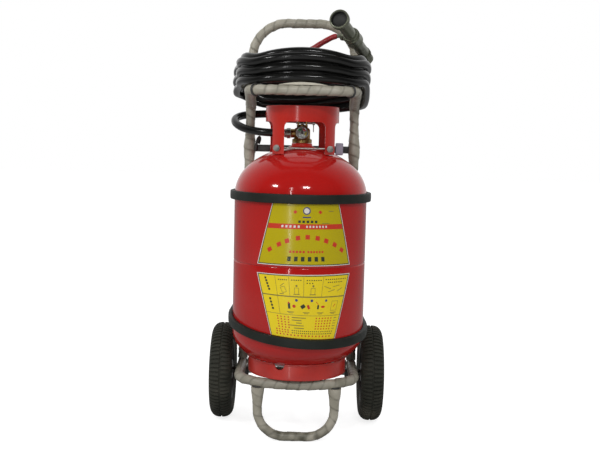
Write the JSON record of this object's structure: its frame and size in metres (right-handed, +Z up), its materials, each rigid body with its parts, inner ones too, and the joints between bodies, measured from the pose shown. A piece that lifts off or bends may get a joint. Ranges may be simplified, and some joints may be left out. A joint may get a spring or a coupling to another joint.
{
  "type": "wheeled fire extinguisher",
  "caption": "Red cylinder on a two-wheeled tube trolley with handle arch, hose coil on a front rack, guarded lever valve and a lever-operated nozzle.",
  "frame": {"origin": "centre of the object seen from above, on the floor it stands on", "axes": "+Z up, -Y towards the front with the labels and the foot loop, +X to the right seen from the front"},
  "size_m": [0.4026, 0.3746, 0.9233],
  "materials": {
    "red_enamel": "glossy",
    "wrapped_tube": "satin",
    "black_steel": "satin",
    "band_rubber": "satin",
    "tyre_rubber": "matte",
    "hose_rubber": "glossy",
    "bright_steel": "satin",
    "brass": "satin",
    "nozzle_metal": "satin",
    "red_lever": "glossy",
    "red_vinyl": "glossy",
    "label_film": "satin",
    "lilac_plastic": "satin",
    "pad_felt": "matte",
    "white_plastic": "satin",
    "needle_black": "matte",
    "clear_lens": "glossy",
    "water_charge": "glossy"
  },
  "bodies": {
    "trolley": {"upper_shell": "red_enamel", "lower_shell": "red_enamel", "neck_boss": "red_enamel", "foot_ring": "red_enamel", "valve_guard": "red_enamel", "handle_arch": "wrapped_tube", "left_upright": "wrapped_tube", "right_upright": "wrapped_tube", "base_rails": "wrapped_tube", "rear_cross_tube": "wrapped_tube", "foot_loop": "wrapped_tube", "hose_rack": "wrapped_tube", "neck_cross_bar": "black_steel", "left_axle_saddle": "black_steel", "right_axle_saddle": "black_steel", "upper_band": "band_rubber", "lower_band": "band_rubber", "hose_lead": "hose_rubber", "hose_coil": "hose_rubber", "hose_tail": "hose_rubber", "axle": "bright_steel", "left_axle_cap": "bright_steel", "right_axle_cap": "bright_steel", "left_guard_bolt": "bright_steel", "right_guard_bolt": "bright_steel", "left_guard_nut": "bright_steel", "right_guard_nut": "bright_steel", "neck_tie_rod": "bright_steel", "stem_spring": "bright_steel", "lever_pin": "bright_steel", "gauge_case": "bright_steel", "outlet_coupling": "bright_steel", "valve_body": "brass", "hose_tail_fitting": "nozzle_metal", "ball_valve_body": "nozzle_metal", "nozzle_barrel": "nozzle_metal", "nozzle_mouth": "nozzle_metal", "upper_label": "label_film", "lower_label": "label_film", "cross_bar_sleeve": "lilac_plastic", "hose_rest_pad": "pad_felt", "siphon_tube": "white_plastic", "strainer": "white_plastic", "gauge_dial": "white_plastic", "gauge_lens": "clear_lens", "liquid_charge": "water_charge"},
    "left_wheel": {"left_tyre": "tyre_rubber", "left_wheel_hub": "black_steel"},
    "right_wheel": {"right_tyre": "tyre_rubber", "right_wheel_hub": "black_steel"},
    "main_lever": {"valve_lever": "red_lever"},
    "stem": {"valve_stem": "bright_steel"},
    "pin": {"safety_pin": "bright_steel", "pull_ring": "bright_steel"},
    "needle": {"gauge_needle": "needle_black"},
    "nozzle_handle": {"nozzle_lever": "nozzle_metal", "lever_grip": "red_vinyl", "valve_ball": "bright_steel"}
  },
  "joints": [
    {"name": "left_wheel_spin", "type": "hinge", "parent": "trolley", "child": "left_wheel", "pos_m": [-0.172, 0.0723, 0.11], "axis": [1, 0, 0], "continuous": true},
    {"name": "right_wheel_spin", "type": "hinge", "parent": "trolley", "child": "right_wheel", "pos_m": [0.172, 0.0723, 0.11], "axis": [1, 0, 0], "continuous": true},
    {"name": "main_lever_swing", "type": "hinge", "parent": "trolley", "child": "main_lever", "pos_m": [0, -0.0277, 0.697], "axis": [1, 0, 0], "range_deg": [0, 90]},
    {"name": "stem_travel", "type": "slide", "parent": "trolley", "child": "stem", "axis": [0, 0, -1], "range_m": [0, 0.0042], "deforming": ["stem_spring"]},
    {"name": "safety_pin_pull", "type": "slide", "parent": "trolley", "child": "pin", "axis": [1, 0, 0], "range_m": [0, 0.034]},
    {"name": "gauge_needle_turn", "type": "hinge", "parent": "trolley", "child": "needle", "pos_m": [0, -0.0537, 0.665], "axis": [0, 1, 0], "range_deg": [-120, 60], "stiffness_Nm_per_rad": 0.0005},
    {"name": "nozzle_handle_turn", "type": "hinge", "parent": "trolley", "child": "nozzle_handle", "pos_m": [0.10262, -0.08024, 0.86633], "axis": [-0.9134, 0.3532, 0.2025], "range_deg": [0, 90]}
  ],
  "couplings": [
    {"joint": "stem_travel", "follows": "main_lever_swing", "m_per_rad": 0.0025}
  ]
}
